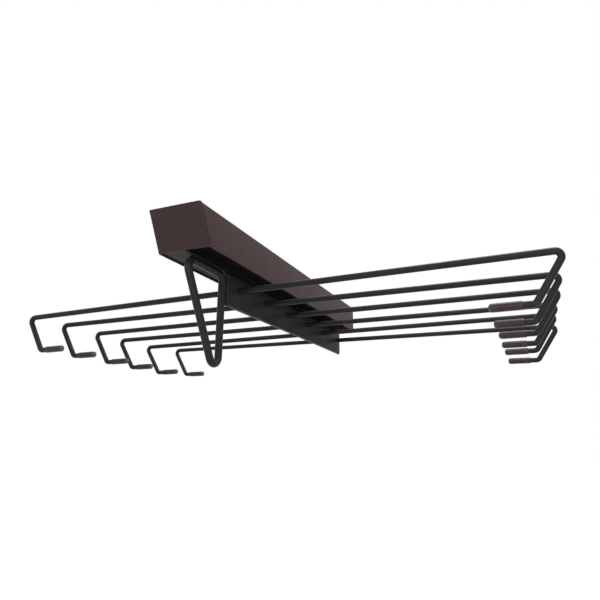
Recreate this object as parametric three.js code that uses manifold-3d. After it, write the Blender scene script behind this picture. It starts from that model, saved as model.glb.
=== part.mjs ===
// A pull-out trouser rack that hangs under a wardrobe shelf. A fixed sheet-metal housing holds a
// ball-bearing slide of three members, and the slide carries a folded carriage with six bent rods,
// a front cap and a three-cornered pull handle.
// Millimetres. The rods run along X, the rack pulls out towards -Y, and +Z is up. The origin is the
// middle of the housing's top face, which lies against the shelf.

import * as THREE from 'three';
import { mergeVertices } from 'three/addons/utils/BufferGeometryUtils.js';
import Module from 'manifold-3d';

const wasm = await Module();
wasm.setup();

// Clearances
const seatGap = 0.3; // between a piece and what it rests on, passes through or is fixed to
const slideGap = 0.4; // between pieces that run past each other
const cutOverrun = 2; // how far a cutting solid runs past what it cuts

// Housing
const housingLength = 436;
const housingWidth = 57;
const housingHeight = 37.8;
const housingSheet = 1.5;
const housingInsideBend = 1;
const frontSetback = 18.7; // how far the front's lower edge stands behind its upper edge
const rearTabSeam = 0.5; // the open seam at each side of the tab that closes the rear
const rearTabLift = 1; // from the housing's lower edge up to that tab
const mountHoleDiameter = 5;
const mountHoleSpacing = 30;
const mountHoleEndDistance = 12.5;

// Front cap
const capSheet = 1.5;
const capInsideBend = 0.3;
const capReturn = 2;
const capSeam = 0.8; // the open seam between the cap and the housing
const capTopGap = 0.6; // keeps the cap off the shelf
const capStudSpacing = 20;
const capStudDiameter = 4;
const capNutFlats = 7;
const capNutHeight = 3.2;
const capStudPoint = 0.9; // how far a stud stands past its nut
const capTabWidth = 30;
const capTabHeight = 16;

// Ball-bearing slide
const slideEndRoom = 18; // between each end of the slide and the end of the housing
const slideSideRoom = 4.15; // between each side of the slide and the housing's wall
const slideDepth = 12.7;
const slideSheet = 1.2;
const slideInsideBend = 0.5;
const outerLip = 1.4;
const outerFlangeDepth = 10;
const middleFlangeDepth = 11;
const ballDiameter = 4;
const ballCount = 6;
const ballPitch = 32;
const ballFloat = 0.25; // between a ball and each raceway
const cageSheet = 0.6;
const cageLip = 2.4; // how far the cage's sides reach past the balls' centres
const cageEnd = 8; // from the last ball's centre to the cage's end
const rivetDiameter = 4;
const rivetHeadDiameter = 6.4;
const rivetHeadHeight = 0.9;
const rivetCount = 4;
const rivetRecess = 0.1;
const bumperLength = 6;
const bumperHeight = 6.5;
const bumperSideGap = 0.8;

// Trouser rods
const rodCount = 6;
const rodDiameter = 6.5;
const rodPitch = 62.8;
const rodHalfSpan = 320; // from the middle plane to where a rod turns down
const rodDrop = 51.9; // from the mounting face to the rods' centre lines
const firstRodSetback = 119.2; // from the housing's front edge to the first rod
const rodInsideBend = 2;
const hookLean = 27.7; // how far a hook's leg leans back towards the middle
const hookDrop = 44.5;
const hookReach = 38.4; // from the hook's lower corner to the end of its sleeve
// Each rod sits a little off its place in its hole: how far it is shifted to the right, as shares of
// the half span, and how far it is turned about Z and its right end raised, in degrees.
const rodShiftShares = [0.0055, 0.0028, 0.0036, -0.0006, -0.0014, 0.0051];
const rodTurns = [-1.35, 0.1, -0.1, 1.25, 0.65, -2.1];
const rodTilts = [0.1, -0.05, 0, 0.15, 0.25, -0.85];

// End sleeves
const sleeveLength = 28;
const sleeveGap = 0.15; // between a sleeve's bore and its rod
const sleeveWall = 0.6;
const sleeveEndWall = 1.6;
const sleeveEndRadius = 1.5;

// Carriage
const carriageSheet = 2;
const carriageInsideBend = 1.5;
const carriageSideGap = 1.4; // between the carriage's upright and the housing's wall
const carriageFlangeRecess = 0.3; // how far its lower flange stands above the housing's lower edge
const carriageTopReach = 17; // how far its upper flange reaches past the middle plane
const carriageRearInset = 5;
const flangeLap = 3; // how far the folded plate and the front lip run into the lower flange
const lipReach = 0.5; // how far the lip in front of the plate reaches past the middle plane
const foldRelief = 3; // the slot between the lip and the fold
const plateDrop = 74; // from the mounting face to the plate's lower edge
const plateFrontMargin = 24.8; // in front of the first rod
const plateRearMargin = 14.1; // behind the last rod
const plateReturn = 6; // width of the turned edge under the plate
const returnInset = 18; // from the plate's rear edge to the end of that turned edge
const plateCornerRadius = 8; // the plate's lower rear corner
const plateCornerMargin = 0.2; // how far that corner's full circle would stand past the plate's edges
const frontReturn = 5; // width of the turned edge at the plate's front
const returnLift = 0.5; // from the middle of the turned lower edge to the turned front edge
const returnRelief = 3; // between the turned front edge and the fold above it
const screwDiameter = 4;
const screwHeadDiameter = 8;
const screwHeadHeight = 2.4;
const screwCrownShare = 0.7; // the flat middle of a screw's head, as a share of the head's width
const screwPoint = 1.6; // how far a screw stands past the slide's inner member
const screwPlaceShare = 0.5; // how far out a screw stands, as a share of the inner member's half width
const screwCount = 4;
const recessWidth = 1;
const recessLength = 4;
const recessDepth = 1.3;

// Pull handle
const handleDiameter = 7.7;
const handleOffset = -1.4; // from the middle plane
const handleSpread = 67.9; // between the two legs' centre lines, level with the carriage's underside
const handleVertexLead = 1.9; // how far the legs' meeting point lies in front of the rear leg's top
const handleVertexDrop = 120.2; // from the carriage to where the legs' centre lines would meet
const handleInsideBend = 4.3;
const handleSeam = 0.4; // between the wire's two ends

// Facets
const rodSides = 12;
const bendSteps = 5;
const sheetBendSteps = 3;
const sleeveSides = 12;
const sleeveEndSteps = 3;
const roundSides = 16;
const ballSides = 8;

// Places that follow from the dimensions above
const halfLength = housingLength / 2;
const halfWidth = housingWidth / 2;
const housingInnerHalfWidth = halfWidth - housingSheet;
const frontAngle = Math.atan2(frontSetback, housingHeight);

const slideLength = housingLength - 2 * slideEndRoom;
const slideFrontY = -halfLength + slideEndRoom;
const slideRearY = halfLength - slideEndRoom;
const slideTopZ = -housingSheet - seatGap;
const slideBottomZ = slideTopZ - slideDepth;

const rivetTopZ = -rivetRecess;
const rivetBottomZ = slideTopZ - slideSheet + rivetRecess;

const outerHalfWidth = housingInnerHalfWidth - slideSideRoom;
const outerBallX = outerHalfWidth - slideSheet - ballFloat - ballDiameter / 2;
const middleHalfWidth = outerBallX - ballDiameter / 2 - ballFloat;
const innerBallX = middleHalfWidth - slideSheet - ballFloat - ballDiameter / 2;
const innerHalfWidth = innerBallX - ballDiameter / 2 - ballFloat;
const outerCageTopZ = slideTopZ - slideSheet - slideGap;
const middleTopZ = outerCageTopZ - cageSheet - slideGap;
const innerCageTopZ = middleTopZ - slideSheet - slideGap;
const innerTopZ = innerCageTopZ - cageSheet - slideGap;
const outerBallZ = (slideTopZ - slideSheet + slideTopZ - outerFlangeDepth + slideSheet) / 2;
const innerBallZ = (innerCageTopZ + slideTopZ - middleFlangeDepth) / 2;

const firstRodY = -halfLength + firstRodSetback;
const lastRodY = firstRodY + (rodCount - 1) * rodPitch;
const rodHole = rodDiameter + 2 * seatGap;
const screwHole = screwDiameter + 2 * seatGap;
const screwOffset = screwPlaceShare * innerHalfWidth;
const studHole = capStudDiameter + 2 * seatGap;
const hookCornerX = rodHalfSpan - hookLean;
const hookEndX = hookCornerX - hookReach;

const carriageTopZ = slideBottomZ - seatGap;
const flangeUndersideZ = -housingHeight + carriageFlangeRecess;
const uprightX = -housingInnerHalfWidth + carriageSideGap + carriageSheet / 2;
const carriageRearY = halfLength - carriageRearInset;
const plateFrontY = firstRodY - plateFrontMargin;
const plateRearY = lastRodY + plateRearMargin;
const plateFaceX = carriageSheet / 2;

const handleRearLegY = plateFrontY - seatGap - handleDiameter / 2;
const handleFrontLegY = handleRearLegY - handleSpread;

const brown = { color: 0x43383a, roughness: 0.45, metalness: 0.5 };
const paint = () => new THREE.MeshStandardMaterial({ ...brown, flatShading: true });
const zinc = () => new THREE.MeshStandardMaterial({ color: 0x9a9c9e, roughness: 0.35, metalness: 0.9 });
const darkSteel = () => new THREE.MeshStandardMaterial({ color: 0x55565a, roughness: 0.4, metalness: 0.8 });
const softPlastic = () => new THREE.MeshStandardMaterial({ color: 0x4a4041, roughness: 0.6, metalness: 0 });
const rubber = () => new THREE.MeshStandardMaterial({ color: 0x1c1c1e, roughness: 0.85, metalness: 0 });

// Turns a closed geometry into a solid that can be joined and cut.
function solidFrom(geometry) {
  const bare = geometry.clone();
  bare.deleteAttribute('normal');
  bare.deleteAttribute('uv');
  const merged = mergeVertices(bare);
  return new wasm.Manifold(new wasm.Mesh({
    numProp: 3,
    vertProperties: merged.attributes.position.array,
    triVerts: Uint32Array.from(merged.index.array),
  }));
}

function geometryFrom(solid) {
  const { vertProperties, triVerts } = solid.getMesh();
  const geometry = new THREE.BufferGeometry();
  geometry.setAttribute('position', new THREE.BufferAttribute(vertProperties, 3));
  geometry.setIndex(new THREE.BufferAttribute(triVerts, 1));
  geometry.computeVertexNormals();
  return geometry;
}

function boxSolid([x0, y0, z0], [x1, y1, z1]) {
  const box = new THREE.BoxGeometry(x1 - x0, y1 - y0, z1 - z0);
  return solidFrom(box.translate((x0 + x1) / 2, (y0 + y1) / 2, (z0 + z1) / 2));
}

// An upright round bar or hole cutter between two heights.
function uprightCylinder(diameter, x, y, bottomZ, topZ) {
  const cylinder = new THREE.CylinderGeometry(diameter / 2, diameter / 2, topZ - bottomZ, roundSides);
  return solidFrom(cylinder.rotateX(Math.PI / 2).translate(x, y, (bottomZ + topZ) / 2));
}

// A round bar or hole cutter along X, centred on the middle plane.
function cylinderAlongX(diameter, length, y, z) {
  const cylinder = new THREE.CylinderGeometry(diameter / 2, diameter / 2, length, roundSides);
  return solidFrom(cylinder.rotateZ(Math.PI / 2).translate(0, y, z));
}

// A round solid on an upright axis, from pairs of radius and height.
function turnedUpright(outline) {
  const points = [[0, outline[0][1]], ...outline, [0, outline[outline.length - 1][1]]];
  const profile = points.map(([radius, z]) => new THREE.Vector2(radius, z));
  return new THREE.LatheGeometry(profile, roundSides).rotateX(Math.PI / 2);
}

// Points and directions along straight runs joined by round bends: one station at each end of a run
// and a few along each bend.
function bentStations(corners, bendRadius, steps) {
  const stations = [];
  const heading = (from, to) => to.clone().sub(from).normalize();
  stations.push({ point: corners[0].clone(), tangent: heading(corners[0], corners[1]) });
  for (let i = 1; i < corners.length - 1; i += 1) {
    const before = heading(corners[i - 1], corners[i]);
    const after = heading(corners[i], corners[i + 1]);
    const angle = before.angleTo(after);
    const axis = before.clone().cross(after).normalize();
    const start = corners[i].clone().addScaledVector(before, -bendRadius * Math.tan(angle / 2));
    const centre = start.addScaledVector(axis.clone().cross(before), bendRadius);
    for (let step = 0; step <= steps; step += 1) {
      const tangent = before.clone().applyAxisAngle(axis, angle * step / steps);
      const point = centre.clone().addScaledVector(axis.clone().cross(tangent), -bendRadius);
      stations.push({ point, tangent });
    }
  }
  const last = corners.length - 1;
  stations.push({ point: corners[last].clone(), tangent: heading(corners[last - 1], corners[last]) });
  return stations;
}

// The centre line of a bent wire, sampled only at its stations.
class WireLine extends THREE.Curve {
  constructor(stations) {
    super();
    this.stations = stations;
  }

  stationAt(share) {
    return this.stations[Math.round(share * (this.stations.length - 1))];
  }

  getPointAt(share, target = new THREE.Vector3()) {
    return target.copy(this.stationAt(share).point);
  }

  getTangentAt(share, target = new THREE.Vector3()) {
    return target.copy(this.stationAt(share).tangent);
  }
}

function bentWire(corners, diameter, insideBend) {
  const stations = bentStations(corners, insideBend + diameter / 2, bendSteps);
  const section = new THREE.Shape().absarc(0, 0, diameter / 2, 0, 2 * Math.PI);
  return new THREE.ExtrudeGeometry(section, {
    steps: stations.length - 1,
    curveSegments: rodSides / 2,
    extrudePath: new WireLine(stations),
  });
}

// The outline of a folded sheet, from the corners of the sheet's middle line.
function foldedOutline(corners, sheet, insideBend) {
  const line = corners.map(([x, y]) => new THREE.Vector3(x, y, 0));
  const stations = bentStations(line, insideBend + sheet / 2, sheetBendSteps);
  const side = (sign) => stations.map(({ point, tangent }) => new THREE.Vector2(
    point.x - sign * tangent.y * sheet / 2,
    point.y + sign * tangent.x * sheet / 2,
  ));
  return new THREE.Shape([...side(-1), ...side(1).reverse()]);
}

// A section drawn in X and Z, run along Y.
function runAlongY(shape, frontY, rearY) {
  const run = new THREE.ExtrudeGeometry(shape, { depth: rearY - frontY, bevelEnabled: false });
  return solidFrom(run.rotateX(Math.PI / 2).translate(0, rearY, 0));
}

// The slanted front's own frame: X as before, Y square to the face and inwards, Z up along the face.
const faceFrame = new THREE.Matrix4().makeRotationX(frontAngle).setPosition(0, -halfLength, 0);
const faceLength = housingHeight / Math.cos(frontAngle);

function slantedBox([x0, y0, z0], [x1, y1, z1]) {
  const box = new THREE.BoxGeometry(x1 - x0, y1 - y0, z1 - z0);
  box.translate((x0 + x1) / 2, (y0 + y1) / 2, (z0 + z1) / 2);
  return solidFrom(box.applyMatrix4(faceFrame));
}

// All the room between two depths behind the slanted face.
function slantedSlab(fromDepth, toDepth) {
  return slantedBox([-housingWidth, fromDepth, -housingLength], [housingWidth, toDepth, housingLength]);
}

const capNutSeat = capSheet + seatGap + carriageSheet + seatGap;
const capStudXs = [-capStudSpacing / 2, capStudSpacing / 2];
const capStudUp = (carriageTopZ - carriageSheet - capTabHeight / 2) / Math.cos(frontAngle);

// A round bar square to the slanted face, between two depths behind it.
function slantedCylinder(diameter, x, fromDepth, toDepth) {
  const cylinder = new THREE.CylinderGeometry(diameter / 2, diameter / 2, toDepth - fromDepth, roundSides);
  cylinder.translate(x, (fromDepth + toDepth) / 2, capStudUp);
  return solidFrom(cylinder.applyMatrix4(faceFrame));
}

const rivetYs = Array.from({ length: rivetCount }, (_, i) => (
  (i - (rivetCount - 1) / 2) * (slideLength / rivetCount)));
const screwYs = Array.from({ length: screwCount }, (_, i) => (
  (i - (screwCount - 1) / 2) * (slideLength / screwCount)));

// Half the outline of a rivet with a countersunk head at each end, which lies within the two sheets
// that it holds.
function rivetOutline(gap) {
  const shank = rivetDiameter / 2 + gap;
  const head = rivetHeadDiameter / 2 + gap;
  return [
    [head, rivetBottomZ],
    [shank, rivetBottomZ + rivetHeadHeight],
    [shank, rivetTopZ - rivetHeadHeight],
    [head, rivetTopZ],
  ];
}

function rivetHoles() {
  const outline = rivetOutline(seatGap);
  const [head] = outline[0];
  const cutter = solidFrom(turnedUpright([
    [head, rivetBottomZ - cutOverrun], ...outline, [head, rivetTopZ + cutOverrun]]));
  return rivetYs.map((y) => cutter.translate(0, y, 0));
}

function makeHousing() {
  const x = halfWidth - housingSheet / 2;
  const topZ = -housingSheet / 2;
  const outline = foldedOutline(
    [[-x, -housingHeight], [-x, topZ], [x, topZ], [x, -housingHeight]], housingSheet, housingInsideBend);
  let housing = runAlongY(outline, -halfLength, halfLength);
  housing = housing.intersect(slantedSlab(capReturn + capSeam, housingLength));
  const tabX = housingInnerHalfWidth - rearTabSeam;
  housing = housing.add(boxSolid(
    [-tabX, halfLength - housingSheet, -housingHeight + rearTabLift], [tabX, halfLength, topZ]));
  for (const endY of [-1, 1].map((end) => end * (halfLength - mountHoleEndDistance))) {
    for (const holeX of [-mountHoleSpacing / 2, mountHoleSpacing / 2]) {
      housing = housing.subtract(
        uprightCylinder(mountHoleDiameter, holeX, endY, -housingSheet - cutOverrun, cutOverrun));
    }
  }
  rivetHoles().forEach((hole) => {
    housing = housing.subtract(hole);
  });
  return geometryFrom(housing);
}

function makeFrontCap() {
  const x = halfWidth - capSheet / 2;
  const outline = foldedOutline(
    [[-x, capReturn], [-x, capSheet / 2], [x, capSheet / 2], [x, capReturn]], capSheet, capInsideBend);
  const shell = new THREE.ExtrudeGeometry(outline, { depth: 2 * faceLength, bevelEnabled: false });
  shell.translate(0, 0, -faceLength - cutOverrun).applyMatrix4(faceFrame);
  const topZ = -capTopGap;
  const band = boxSolid([-housingWidth, -housingLength, -housingHeight], [housingWidth, 0, topZ]);
  let cap = solidFrom(shell).intersect(band);
  const topReturn = boxSolid(
    [-housingInnerHalfWidth, -housingLength, topZ - capSheet], [housingInnerHalfWidth, 0, topZ]);
  cap = cap.add(topReturn.intersect(slantedSlab(capSheet / 2, capReturn)));
  const studEnd = capNutSeat + capNutHeight + capStudPoint;
  capStudXs.forEach((studX) => {
    cap = cap.add(slantedCylinder(capStudDiameter, studX, capSheet / 2, studEnd));
  });
  return geometryFrom(cap);
}

function makeCapNut(x) {
  const radius = capNutFlats / Math.sqrt(3);
  const hexagon = new THREE.CylinderGeometry(radius, radius, capNutHeight, 6);
  hexagon.translate(x, capNutSeat + capNutHeight / 2, capStudUp);
  const nut = solidFrom(hexagon.applyMatrix4(faceFrame));
  return geometryFrom(nut.subtract(
    slantedCylinder(studHole, x, capNutSeat - cutOverrun, capNutSeat + capNutHeight + cutOverrun)));
}

function makeOuterMember() {
  const x = outerHalfWidth - slideSheet / 2;
  const topZ = slideTopZ - slideSheet / 2;
  const lipZ = slideTopZ - outerFlangeDepth + slideSheet / 2;
  const lipX = outerHalfWidth - slideSheet - outerLip;
  const outline = foldedOutline(
    [[-lipX, lipZ], [-x, lipZ], [-x, topZ], [x, topZ], [x, lipZ], [lipX, lipZ]],
    slideSheet, slideInsideBend);
  let member = runAlongY(outline, slideFrontY, slideRearY);
  rivetHoles().forEach((hole) => {
    member = member.subtract(hole);
  });
  return geometryFrom(member);
}

function makeMiddleMember() {
  const x = middleHalfWidth - slideSheet / 2;
  const topZ = middleTopZ - slideSheet / 2;
  const lowZ = slideTopZ - middleFlangeDepth;
  const outline = foldedOutline([[-x, lowZ], [-x, topZ], [x, topZ], [x, lowZ]], slideSheet, slideInsideBend);
  return geometryFrom(runAlongY(outline, slideFrontY, slideRearY - bumperLength - seatGap));
}

function makeInnerMember() {
  const x = innerHalfWidth - slideSheet / 2;
  const lowZ = slideBottomZ + slideSheet / 2;
  const outline = foldedOutline(
    [[-x, innerTopZ], [-x, lowZ], [x, lowZ], [x, innerTopZ]], slideSheet, slideInsideBend);
  let member = runAlongY(outline, slideFrontY, slideRearY);
  for (const y of screwYs) {
    const [low, high] = [slideBottomZ - cutOverrun, slideBottomZ + slideSheet + cutOverrun];
    member = member.subtract(uprightCylinder(screwHole, screwOffset, y, low, high));
  }
  return geometryFrom(member);
}

// A cage strip bridges the slide and holds one row of balls at each side.
function makeBallCage(ballX, ballZ, topZ) {
  const lineZ = topZ - cageSheet / 2;
  const lowZ = ballZ - cageLip;
  const outline = foldedOutline(
    [[-ballX, lowZ], [-ballX, lineZ], [ballX, lineZ], [ballX, lowZ]], cageSheet, cageSheet);
  const reach = (ballCount - 1) / 2 * ballPitch;
  let cage = runAlongY(outline, -reach - cageEnd, reach + cageEnd);
  const ball = solidFrom(new THREE.SphereGeometry(ballDiameter / 2, ballSides, ballSides / 2 + 1));
  for (let i = 0; i < ballCount; i += 1) {
    for (const x of [-ballX, ballX]) {
      cage = cage.add(ball.translate(x, i * ballPitch - reach, ballZ));
    }
  }
  return geometryFrom(cage);
}

function makeBumper() {
  const x = innerHalfWidth - slideSheet - bumperSideGap;
  const topZ = slideTopZ - slideSheet - seatGap;
  return geometryFrom(boxSolid([-x, slideRearY - bumperLength, topZ - bumperHeight], [x, slideRearY, topZ]));
}

function makeCarriage() {
  const topZ = carriageTopZ - carriageSheet / 2;
  const flangeZ = flangeUndersideZ + carriageSheet / 2;
  const lowZ = -plateDrop + carriageSheet / 2;
  const upper = [[carriageTopReach, topZ], [uprightX, topZ], [uprightX, flangeZ]];
  const flangeEnd = -plateFaceX - carriageInsideBend - seatGap;
  const channelOutline = foldedOutline([...upper, [flangeEnd, flangeZ]], carriageSheet, carriageInsideBend);
  const plateOutline = foldedOutline(
    [[flangeEnd - flangeLap, flangeZ], [0, flangeZ], [0, lowZ], [plateReturn - plateFaceX, lowZ]],
    carriageSheet, carriageInsideBend);
  const tabTop = (carriageTopZ - carriageSheet) / Math.cos(frontAngle);
  let carriage = runAlongY(channelOutline, -halfLength, plateRearY);
  carriage = carriage.add(boxSolid(
    [flangeEnd - flangeLap, -halfLength, flangeUndersideZ],
    [lipReach, plateFrontY - foldRelief, flangeUndersideZ + carriageSheet]));
  carriage = carriage.add(slantedBox(
    [-capTabWidth / 2, 0, tabTop - capTabHeight],
    [capTabWidth / 2, capSheet + seatGap + carriageSheet, tabTop]));
  carriage = carriage.intersect(slantedSlab(capSheet + seatGap, housingLength));
  carriage = carriage.add(runAlongY(plateOutline, plateFrontY, plateRearY));
  carriage = carriage.subtract(boxSolid(
    [-housingWidth, carriageRearY, flangeUndersideZ - seatGap], [housingWidth, plateRearY + cutOverrun, 0]));
  carriage = carriage.add(boxSolid(
    [0, plateFrontY, lowZ + returnLift],
    [frontReturn - plateFaceX, plateFrontY + carriageSheet, flangeUndersideZ - returnRelief]));
  carriage = carriage.subtract(boxSolid(
    [plateFaceX, plateRearY - returnInset, -plateDrop - cutOverrun],
    [housingWidth, plateRearY + cutOverrun, -plateDrop + plateCornerRadius]));
  const cornerY = plateRearY - plateCornerRadius + plateCornerMargin;
  const cornerZ = -plateDrop + plateCornerRadius - plateCornerMargin;
  const corner = boxSolid(
    [-housingWidth, cornerY, -plateDrop - cutOverrun], [housingWidth, plateRearY + cutOverrun, cornerZ]);
  carriage = carriage.subtract(corner.subtract(
    cylinderAlongX(2 * plateCornerRadius, 2 * housingWidth + cutOverrun, cornerY, cornerZ)));
  for (const studX of capStudXs) {
    carriage = carriage.subtract(slantedCylinder(studHole, studX, capSheet, capNutSeat + cutOverrun));
  }
  for (let i = 0; i < rodCount; i += 1) {
    carriage = carriage.subtract(
      cylinderAlongX(rodHole, carriageSheet + 2 * cutOverrun, firstRodY + i * rodPitch, -rodDrop));
  }
  for (const y of screwYs) {
    const [low, high] = [carriageTopZ - carriageSheet - cutOverrun, carriageTopZ + cutOverrun];
    carriage = carriage.subtract(uprightCylinder(screwHole, screwOffset, y, low, high));
  }
  return geometryFrom(carriage);
}

// A pan-head screw with a cross recess, its head down and its shank up.
function makeScrew() {
  const headTop = carriageTopZ - carriageSheet - seatGap;
  const headLow = headTop - screwHeadHeight;
  const tip = slideBottomZ + slideSheet + screwPoint;
  const head = screwHeadDiameter / 2;
  const shank = screwDiameter / 2;
  let screw = solidFrom(turnedUpright([
    [head * screwCrownShare, headLow],
    [head, headLow + screwHeadHeight / 2],
    [head, headTop],
    [shank, headTop],
    [shank, tip],
  ]));
  const long = recessLength / 2;
  const short = recessWidth / 2;
  for (const [x, y] of [[long, short], [short, long]]) {
    screw = screw.subtract(boxSolid([-x, -y, headLow - cutOverrun], [x, y, headLow + recessDepth]));
  }
  return geometryFrom(screw);
}

// One rod: straight across, turned down and back at both ends, with the tips pointing inwards.
function makeRod() {
  const endX = hookEndX + sleeveEndWall + seatGap;
  const corners = [
    [-endX, -hookDrop], [-hookCornerX, -hookDrop], [-rodHalfSpan, 0],
    [rodHalfSpan, 0], [hookCornerX, -hookDrop], [endX, -hookDrop],
  ].map(([x, z]) => new THREE.Vector3(x, 0, z));
  return bentWire(corners, rodDiameter, rodInsideBend);
}

// A sleeve that closes over a rod's tip, drawn along +Y from its closed end.
function makeSleeve() {
  const bore = rodDiameter / 2 + sleeveGap;
  const outside = bore + sleeveWall;
  const arc = Array.from({ length: sleeveEndSteps + 1 }, (_, i) => {
    const angle = Math.PI / 2 * i / sleeveEndSteps;
    return new THREE.Vector2(
      outside - sleeveEndRadius + sleeveEndRadius * Math.sin(angle),
      sleeveEndRadius - sleeveEndRadius * Math.cos(angle));
  });
  return new THREE.LatheGeometry([
    new THREE.Vector2(0, 0),
    ...arc,
    new THREE.Vector2(outside, sleeveLength),
    new THREE.Vector2(bore, sleeveLength),
    new THREE.Vector2(bore, sleeveEndWall),
    new THREE.Vector2(0, sleeveEndWall),
  ], sleeveSides);
}

// A wire bent to a loop: two legs that meet below, and a run that lies under the carriage and holds
// the wire's two ends.
function makeHandle() {
  const vertex = new THREE.Vector3(
    handleOffset, handleRearLegY - handleVertexLead, flangeUndersideZ - handleVertexDrop);
  const runDrop = seatGap + handleDiameter / 2;
  const [front, rear] = [handleFrontLegY, handleRearLegY].map((y) => (
    new THREE.Vector3(handleOffset, y, flangeUndersideZ).lerp(vertex, runDrop / handleVertexDrop)));
  const runEnd = (sign) => {
    const middle = front.clone().add(rear).divideScalar(2);
    return middle.setY(middle.y + sign * handleSeam / 2);
  };
  return bentWire([runEnd(1), rear, vertex, front, runEnd(-1)], handleDiameter, handleInsideBend);
}

const rack = new THREE.Group();

function place(name, geometry, material, { x = 0, y = 0, z = 0, parent = rack } = {}) {
  const mesh = new THREE.Mesh(geometry, material);
  mesh.name = name;
  mesh.position.set(x, y, z);
  parent.add(mesh);
  return mesh;
}

place('housing', makeHousing(), paint());
place('slide_outer_member', makeOuterMember(), zinc());
place('slide_middle_member', makeMiddleMember(), zinc());
place('slide_inner_member', makeInnerMember(), zinc());
place('outer_ball_cage', makeBallCage(outerBallX, outerBallZ, outerCageTopZ), darkSteel());
place('inner_ball_cage', makeBallCage(innerBallX, innerBallZ, innerCageTopZ), darkSteel());
place('slide_rear_bumper', makeBumper(), rubber());
place('carriage', makeCarriage(), paint());
place('front_cap', makeFrontCap(), paint());
place('pull_handle', makeHandle(), paint());

const rivet = turnedUpright(rivetOutline(0));
rivetYs.forEach((y, i) => place(`slide_rivet_${i + 1}`, rivet, zinc(), { y }));

const screw = makeScrew();
screwYs.forEach((y, i) => place(`carriage_screw_${i + 1}`, screw, zinc(), { x: screwOffset, y }));

capStudXs.forEach((x, i) => place(`front_cap_nut_${i + 1}`, makeCapNut(x), zinc()));

const rod = makeRod();
const sleeve = makeSleeve();
for (let i = 0; i < rodCount; i += 1) {
  const seat = new THREE.Group();
  seat.position.set(0, firstRodY + i * rodPitch, -rodDrop);
  seat.rotation.z = THREE.MathUtils.degToRad(rodTurns[i % rodTurns.length]);
  seat.rotation.y = -THREE.MathUtils.degToRad(rodTilts[i % rodTilts.length]);
  rack.add(seat);
  const shift = rodShiftShares[i % rodShiftShares.length] * rodHalfSpan;
  place(`trouser_rod_${i + 1}`, rod, paint(), { x: shift, parent: seat });
  for (const [side, sign] of [['left', -1], ['right', 1]]) {
    const cover = place(`end_sleeve_${side}_${i + 1}`, sleeve, softPlastic(), {
      x: shift + sign * hookEndX, z: -hookDrop, parent: seat,
    });
    cover.rotation.z = -sign * Math.PI / 2;
  }
}

export default rack;
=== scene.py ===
import math

import bmesh
import bpy
from mathutils import Matrix, Vector


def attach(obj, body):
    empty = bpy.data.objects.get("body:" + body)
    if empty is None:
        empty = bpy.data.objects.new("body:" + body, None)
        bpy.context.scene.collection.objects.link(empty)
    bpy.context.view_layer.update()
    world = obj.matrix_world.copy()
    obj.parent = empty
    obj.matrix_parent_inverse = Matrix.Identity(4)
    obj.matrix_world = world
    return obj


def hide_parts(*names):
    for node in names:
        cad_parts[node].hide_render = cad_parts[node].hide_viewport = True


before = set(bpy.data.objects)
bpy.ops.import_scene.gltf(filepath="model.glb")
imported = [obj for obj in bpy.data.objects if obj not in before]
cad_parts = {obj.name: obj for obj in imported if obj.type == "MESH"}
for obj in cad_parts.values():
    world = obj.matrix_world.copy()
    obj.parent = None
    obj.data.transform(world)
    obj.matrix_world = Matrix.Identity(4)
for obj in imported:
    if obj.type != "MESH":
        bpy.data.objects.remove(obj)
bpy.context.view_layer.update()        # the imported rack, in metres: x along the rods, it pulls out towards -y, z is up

mm = 0.001
print("frame loaded:", len(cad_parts), "nodes")


# Helpers for shader nodes

def addNode(tree, kind, inputs=None, **settings):
    node = tree.nodes.new(kind)
    for key, value in settings.items():
        setattr(node, key, value)
    for key, value in (inputs or {}).items():
        feed(tree, node.inputs[key], value)
    return node


def feed(tree, socket, value):    # links a node's output, or sets a plain value
    if isinstance(value, bpy.types.NodeSocket):
        tree.links.new(value, socket)
    else:
        socket.default_value = value


def objectPlace(tree, stretch=(1, 1, 1)):
    coords = addNode(tree, "ShaderNodeTexCoord")
    mapping = addNode(tree, "ShaderNodeMapping", {"Vector": coords.outputs["Object"], "Scale": stretch})
    return mapping.outputs["Vector"]


def noise(tree, place, scale, detail=3, roughness=0.5):
    node = addNode(tree, "ShaderNodeTexNoise",
                   {"Vector": place, "Scale": scale, "Detail": detail, "Roughness": roughness})
    return node.outputs["Fac"]


def remap(tree, value, fromLow, fromHigh, toLow, toHigh):
    node = addNode(tree, "ShaderNodeMapRange", {
        "Value": value, "From Min": fromLow, "From Max": fromHigh, "To Min": toLow, "To Max": toHigh})
    return node.outputs["Result"]


def mixColours(tree, share, first, second):
    node = addNode(tree, "ShaderNodeMix", data_type="RGBA")
    feed(tree, node.inputs[0], share)
    feed(tree, node.inputs[6], first)
    feed(tree, node.inputs[7], second)
    return node.outputs[2]


def joinValues(tree, operation, first, second):
    return addNode(tree, "ShaderNodeMath", {0: first, 1: second}, operation=operation).outputs[0]


def addBump(tree, shader, height, strength, depth):
    bump = addNode(tree, "ShaderNodeBump", {"Height": height, "Strength": strength, "Distance": depth})
    feed(tree, shader.inputs["Normal"], bump.outputs["Normal"])


def edgeShare(tree, radius):    # 1 on a worn edge, 0 on the flat
    rounded = addNode(tree, "ShaderNodeBevel", {"Radius": radius}, samples=4)
    plain = addNode(tree, "ShaderNodeNewGeometry")
    cosine = addNode(tree, "ShaderNodeVectorMath",
                     {0: rounded.outputs["Normal"], 1: plain.outputs["Normal"]}, operation="DOT_PRODUCT")
    return remap(tree, cosine.outputs["Value"], *edgeCosines, 0, 1)


def srgb(red, green, blue):
    def linear(value):
        share = value / 255
        return share / 12.92 if share <= 0.04045 else ((share + 0.055) / 1.055) ** 2.4
    return (linear(red), linear(green), linear(blue), 1)


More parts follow.
